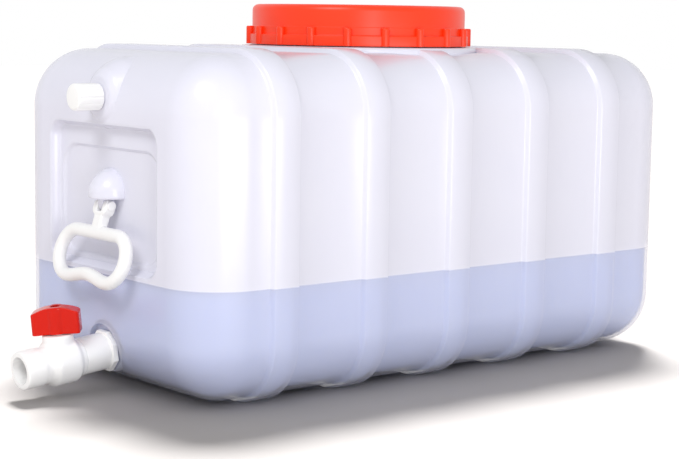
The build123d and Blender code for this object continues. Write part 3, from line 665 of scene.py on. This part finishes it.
def knob():
    """The butterfly handle, set on the valve's stem as the photograph shows it."""
    bow = eased([(-HALF_SPAN, -10, 3), (0, -6, 6), (HALF_SPAN, -10, 3),
                 (HALF_SPAN, 10, 3), (0, 6, 6), (-HALF_SPAN, 10, 3)], 6)
    wing = moved(slab("valve_handle", bow, KNOB_TALL, "XY"), z=KNOB_TALL / 2)
    combine(wing, "UNION", bar("hub", 19, 0, KNOB_TALL, (0, 0, 0), "Z", 64))
    r = (HALF_SPAN ** 2 + ARCH_RISE ** 2) / (2 * ARCH_RISE)
    top = [(x, KNOB_TALL - r + sqrt(r * r - x * x))
           for x in (HALF_SPAN - 2 * HALF_SPAN * i / 24 for i in range(25))]
    combine(wing, "INTERSECT", slab("arch", [(-HALF_SPAN, 0), (HALF_SPAN, 0)] + top, 40))
    moulded(wing, 0.45, 6)
    tools = []
    for side in (-1, 1):
        for flank in (-1, 1):
            outline = eased([(10.5, 4, 1.2), (18.5, 4, 1.2), (18.5, 15, 1.2), (10.5, 15, 1.2)], 4)
            dent = moved(slab("dent", outline, 3.0), 0, flank * 7.75, 0)
            moved(dent, turn=flank * degrees(atan2(4, HALF_SPAN)))
            tools.append(moved(dent, turn=180 if side < 0 else 0))
    tools.append(bar("screw_hole", 4.4, 7, 26, (0, 0, 0), "Z", 40))
    tools.append(bar("screw_head_hole", 8.4, 11.5, 26, (0, 0, 0), "Z", 48))
    square = [(-3.55, -3.55), (3.55, -3.55), (3.55, 3.55), (-3.55, 3.55)]
    tools.append(slab("drive_hole", square, 16, "XY"))
    combine(wing, "DIFFERENCE", *tools)
    return drooped(moved(moved(wing, turn=KNOB_TURN), BALL_X, 0, KNOB_Z))


valve_handle = knob()
print("knob faces:", len(valve_handle.data.polygons))

# %% The vent's cap
FLUTE_D, FLUTE_AT_R, FLUTE_COUNT = 3, 12.95, 12

cap = turned("vent_cap", eased([
    (0, 329, 0), (12.2, 329, 2.4), (12.2, 303.5, 0.6), (9.8, 303.5, 0.4), (9.8, 326, 0.5), (0, 326, 0),
]), VENT, "-X", 96)
flutes = ring_of(bar("flute", FLUTE_D, 300, 335, (FLUTE_AT_R, 0, 0), "Z", 20), FLUTE_COUNT, 0)
flutes.data.transform(AXES["-X"].to_4x4())
combine(cap, "DIFFERENCE", moved(flutes, *VENT))
combine(cap, "UNION", thread("cap_thread", 9.8, 9.2, 3, 2.0, 307, 1.2, VENT, "-X", 48))
print("vent cap faces:", len(cap.data.polygons))

# %% [markdown]
# ## Water in the tank
# The photograph shows the tank about a third full. The water is no part of the tank, but it gives
# the lower wall its blue tint, so it is a piece of its own that can be hidden.

# %% Water
WATER_LEVEL, WATER_GAP = 108.5, 0.4

water = tank_skin("water", WALL + WATER_GAP, 1)
air = slab("air", [(-320, 0), (320, 0), (320, 400), (-320, 400)], 400)
combine(water, "DIFFERENCE", moved(air, z=WATER_LEVEL),
        drooped(bar("pocket_room", 57, 288.6, 326, OUTLET, "-X", 64)))
print("water faces:", len(water.data.polygons))

# %% [markdown]
# ## Finishes
# Each finish is one Principled surface. Its colour is written as a plain sRGB hex value and turned
# to linear by one function. Small changes of colour and roughness and a fine bump come from noise
# on Object coordinates, with scales worked out from real sizes in millimetres.

# %% Colour and surface helpers
PATCH_MM = 35.0
WATER_EDGE = (WATER_LEVEL - 0.2, WATER_LEVEL + 0.4)


def linear(hex_value):
    """An sRGB hex colour as the linear numbers that Blender works in."""
    parts = [int(hex_value[i:i + 2], 16) / 255 for i in (1, 3, 5)]
    return [p / 12.92 if p <= 0.04045 else ((p + 0.055) / 1.055) ** 2.4 for p in parts] + [1.0]


def finish(name, shade, shift, rough, grain_mm, bump_mm,
           wave_mm=0.0, wave_depth_mm=0.0, clear=None, **sockets):
    """A moulded surface: two close shades in soft patches, uneven gloss, fine grain, slow waves.

    clear is how much is seen through the wall above the water and below it."""
    made = bpy.data.materials.new(name)
    made.use_nodes = True
    tree = made.node_tree
    tree.nodes.clear()
    place = add(tree, "ShaderNodeTexCoord").outputs["Object"]

    def noise(size_mm, detail):
        return add(tree, "ShaderNodeTexNoise", {
            "Vector": place, "Scale": 1000 / size_mm, "Detail": detail}).outputs["Fac"]

    def bump(height, depth_mm, **below):
        return add(tree, "ShaderNodeBump", {
            "Height": height, "Distance": depth_mm * MM, "Strength": 1.0, **below}).outputs[0]

    patches = noise(PATCH_MM, 3.0)
    colour = add(tree, "ShaderNodeMix", {
        "Factor": patches, "A": linear(shade), "B": linear(shift)}, data_type="RGBA")
    gloss = add(tree, "ShaderNodeMapRange", {
        "Value": patches, "To Min": rough * 0.85, "To Max": rough * 1.15}).outputs[0]
    skin = bump(noise(grain_mm, 2.0), bump_mm)
    if wave_mm:
        skin = bump(noise(wave_mm, 1.0), wave_depth_mm, Normal=skin)
    surface = add(tree, "ShaderNodeBsdfPrincipled", {
        "Base Color": [o for o in colour.outputs if o.type == "RGBA"][0],
        "Roughness": gloss, "Normal": skin, **sockets})
    out = surface.outputs[0]
    if clear:
        above, below = clear
        height = add(tree, "ShaderNodeSeparateXYZ", {0: place}).outputs["Z"]
        share = add(tree, "ShaderNodeMapRange", {
            "Value": height, "From Min": WATER_EDGE[0] * MM, "From Max": WATER_EDGE[1] * MM,
            "To Min": below, "To Max": above}).outputs[0]
        through = add(tree, "ShaderNodeBsdfTransparent").outputs[0]
        out = add(tree, "ShaderNodeMixShader", {0: share, 1: out, 2: through}).outputs[0]
    add(tree, "ShaderNodeOutputMaterial", {"Surface": out})
    return made


print("lid red in linear numbers:", [round(c, 3) for c in linear("#fe3c0c")])

# %% The finishes
# Natural polyethylene is milky: it shows the water as a blue band with a sharp upper edge. Its wide
# waves are the uneven wall of a blown body, and they bend the long highlights a little.
# Red polypropylene of the lid is satin, and the small handle's ABS is glossier and deeper red.
# White polypropylene and PVC are plain bright plastics, PVC a little glossier.
# PTFE is a dull warm white, rubber is matt and nearly black, and the screw is turned steel.
# The water is smooth and tinted, because it is seen only through the wall and from the neck.
natural_polyethylene = finish(
    "natural_polyethylene_blown", "#f3f3ff", "#f0f0fe", 0.24, 0.9, 0.01,
    wave_mm=60, wave_depth_mm=0.35, clear=(0.2, 0.6), IOR=1.54)
red_polypropylene = finish("red_polypropylene_moulded", "#fe3c0c", "#f8370a", 0.36, 0.8, 0.01, IOR=1.45)
red_abs = finish("red_abs_gloss_moulded", "#d81800", "#d01500", 0.12, 0.8, 0.006, IOR=1.34)
white_polypropylene = finish(
    "white_polypropylene_moulded", "#f7f7f7", "#f2f2f2", 0.34, 0.8, 0.012, IOR=1.49)
white_pvc = finish("white_pvc_moulded", "#fefefe", "#fafafa", 0.25, 0.8, 0.008, IOR=1.53)
seat_ptfe = finish("ptfe_turned", "#f4f4f0", "#ecece8", 0.45, 0.5, 0.006, IOR=1.38)
seal_rubber = finish("black_rubber_moulded", "#232325", "#2b2b2e", 0.62, 0.4, 0.01, IOR=1.52)
screw_steel = finish("stainless_steel_turned", "#c9cacc", "#bfc0c3", 0.32, 0.2, 0.004, Metallic=1.0)
tank_water = finish("still_water", "#a4c6ff", "#9fc0fc", 0.08, 2.0, 0.0, IOR=1.33)
print("finishes:", [m.name for m in bpy.data.materials])

# %% [markdown]
# ## Which finish goes where
# New pieces stand for their CAD nodes and ride on the same bodies. The pieces inside, which are
# already right in shape, stay as the CAD made them and only get their finish.

# %% Dressing the pieces
def dress(piece, surface, body, slot, *nodes, crease=35):
    """Gives a piece its finish and its body, and hides the CAD nodes that it stands for. slot is not
    used.
    """
    piece.data.materials.clear()
    piece.data.materials.append(surface)
    piece.data.shade_smooth()
    piece.data.set_sharp_from_angle(angle=radians(crease))
    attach(piece, body)
    if nodes:
        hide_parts(*nodes)


dress(tank, natural_polyethylene, "tank", "tank_plastic", "tank_shell", crease=40)
dress(water, tank_water, "tank", "tank_plastic")
dress(lid, red_polypropylene, "lid", "red_plastic", "lid")
dress(front_handle, white_polypropylene, "front_handle", "white_plastic", "front_handle")
dress(rear_handle, white_polypropylene, "rear_handle", "white_plastic", "rear_handle")
dress(front_pin, white_polypropylene, "front_handle", "white_plastic", "front_handle_pin")
dress(rear_pin, white_polypropylene, "rear_handle", "white_plastic", "rear_handle_pin")
dress(body, white_pvc, "tank", "valve_plastic", "valve_body")
dress(inlet, white_pvc, "tank", "valve_plastic", "valve_inlet_end")
dress(valve_handle, red_abs, "valve_handle", "red_plastic", "valve_handle")
dress(cap, white_polypropylene, "vent_cap", "white_plastic", "vent_cap")
KEPT = {
    "inner_lid": white_polypropylene, "lid_gasket": seal_rubber, "vent_seal": seal_rubber,
    "outlet_seal": seal_rubber, "inlet_o_ring": seal_rubber, "stem_o_rings": seal_rubber,
    "inlet_seat": seat_ptfe, "outlet_seat": seat_ptfe,
    "valve_ball": white_pvc, "valve_stem": white_pvc, "handle_screw": screw_steel,
}
for name, surface in KEPT.items():
    for slot in frame["nodes"][name].material_slots:
        slot.material = surface
print("dressed; kept from the CAD:", sorted(KEPT))

# %% [markdown]
# ## Floor, light and camera
# The picture is a plain studio shot on white. A pale floor catches the soft shadow, lamps near the
# camera light the object, and the white world is at full strength only for what is looked at:
# straight, in a reflection or through the see-through wall.

# %% Floor
FAR = 9000
FLOOR_TINT = (1.0, 0.955, 0.925)

stage_floor = piece_of("floor", [(-FAR, -FAR, 0), (FAR, -FAR, 0), (FAR, FAR, 0), (-FAR, FAR, 0)],
                       [(0, 1, 2, 3)])
floor_paint = bpy.data.materials.new("white_studio_paper")
floor_paint.use_nodes = True
tree = floor_paint.node_tree
tree.nodes.clear()
seen = add(tree, "ShaderNodeLightPath").outputs["Is Camera Ray"]
bright = add(tree, "ShaderNodeMapRange", {"Value": seen, "To Min": 0.5, "To Max": 0.6}).outputs[0]
tint = add(tree, "ShaderNodeVectorMath", {0: FLOOR_TINT, "Scale": bright}, operation="SCALE").outputs[0]
paper = add(tree, "ShaderNodeBsdfDiffuse", {"Color": tint}).outputs[0]
add(tree, "ShaderNodeOutputMaterial", {"Surface": paper})
stage_floor.data.materials.append(floor_paint)
stage_floor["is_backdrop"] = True
print("floor at z =", 0)

# %% World and lamps
world = bpy.data.worlds.new("studio")
bpy.context.scene.world = world
world.use_nodes = True
tree = world.node_tree
tree.nodes.clear()
paths = add(tree, "ShaderNodeLightPath").outputs
looked_at = paths["Is Camera Ray"]
for kind in ("Is Glossy Ray", "Is Transmission Ray"):
    looked_at = add(tree, "ShaderNodeMath", {0: looked_at, 1: paths[kind]},
                    operation="MAXIMUM").outputs[0]
strength = add(tree, "ShaderNodeMapRange", {
    "Value": looked_at, "To Min": 0.5, "To Max": 1.0}).outputs[0]
white = add(tree, "ShaderNodeBackground", {"Color": (1, 1, 1, 1), "Strength": strength}).outputs[0]
add(tree, "ShaderNodeOutputWorld", {"Surface": white})

SUN_ANGLE = 0.26


def lamp(name, place, aim, energy, box=None):
    """A soft box (width, height) at a place in metres, turned to face a point, or else a soft sun."""
    light = bpy.data.lights.new(name, "AREA" if box else "SUN")
    light.energy = energy
    if box:
        light.shape, (light.size, light.size_y) = "RECTANGLE", box
    else:
        light.angle = SUN_ANGLE
    made = bpy.data.objects.new(name, light)
    made.location = place
    made.rotation_euler = (Vector(aim) - Vector(place)).to_track_quat("-Z", "Y").to_euler()
    bpy.context.scene.collection.objects.link(made)
    return made


front_lamps = [
    lamp("key_by_camera", (-0.95, -1.9, 0.5), (0, 0, 0.2), 7.0, (0.35, 1.0)),
    lamp("fill_front_low", (-0.3, -1.9, 0.07), (-0.05, 0, 0.05), 8, (1.6, 0.12)),
    lamp("top_left", (-1.5, -0.5, 1.7), (-0.1, 0, 0.2), 17, (0.7, 0.7)),
]
back_sun = lamp("sun_behind_for_the_floor", (0.7, 0.86, 2.4), (0, 0, 0), 4.9)

# The front lamps are flagged off the floor and the sun behind is flagged off the object, so that
# the shadow stays dark in front of the tank while the tank itself is lit softly from the front.
lit = bpy.data.collections.new("lit_by_front_lamps")
paper_lit = bpy.data.collections.new("lit_by_back_lamp")
for piece in bpy.context.scene.objects:
    if piece.type == "MESH":
        (paper_lit if piece is stage_floor else lit).objects.link(piece)
for light in front_lamps:
    light.light_linking.receiver_collection = lit
back_sun.light_linking.receiver_collection = paper_lit

# %% Camera
# The camera was solved from about 80 measured points of the photograph, with no lens shift.
YAW, PITCH, ROLL = radians(39.538), radians(-6.962), radians(0.860)
CAMERA_AT, LENS_MM, SENSOR_MM = (-1108.7, -1318.1, 338.9), 90.52, 36

ahead = Vector((sin(YAW) * cos(PITCH), cos(YAW) * cos(PITCH), sin(PITCH)))
level_right = Vector((cos(YAW), -sin(YAW), 0))
level_up = level_right.cross(ahead)
right = cos(ROLL) * level_right + sin(ROLL) * level_up
up = -sin(ROLL) * level_right + cos(ROLL) * level_up
lens = bpy.data.cameras.new("camera")
lens.lens, lens.sensor_width, lens.sensor_fit = LENS_MM, SENSOR_MM, "HORIZONTAL"
camera = bpy.data.objects.new("camera", lens)
facing = Matrix((right, up, -ahead)).transposed().to_4x4()
camera.matrix_world = Matrix.Translation(Vector(CAMERA_AT) * MM) @ facing
bpy.context.scene.collection.objects.link(camera)
bpy.context.scene.camera = camera
bpy.context.scene.view_settings.view_transform = "Standard"
print("camera at", [round(c, 3) for c in camera.location])

# %% Sizes of the CAD model and of the dressed pieces, and the end
visual_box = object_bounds()
for name, box in (("CAD", cad_box), ("visual", visual_box)):
    print(name, "box:", [[round(v, 4) for v in corner] for corner in box])
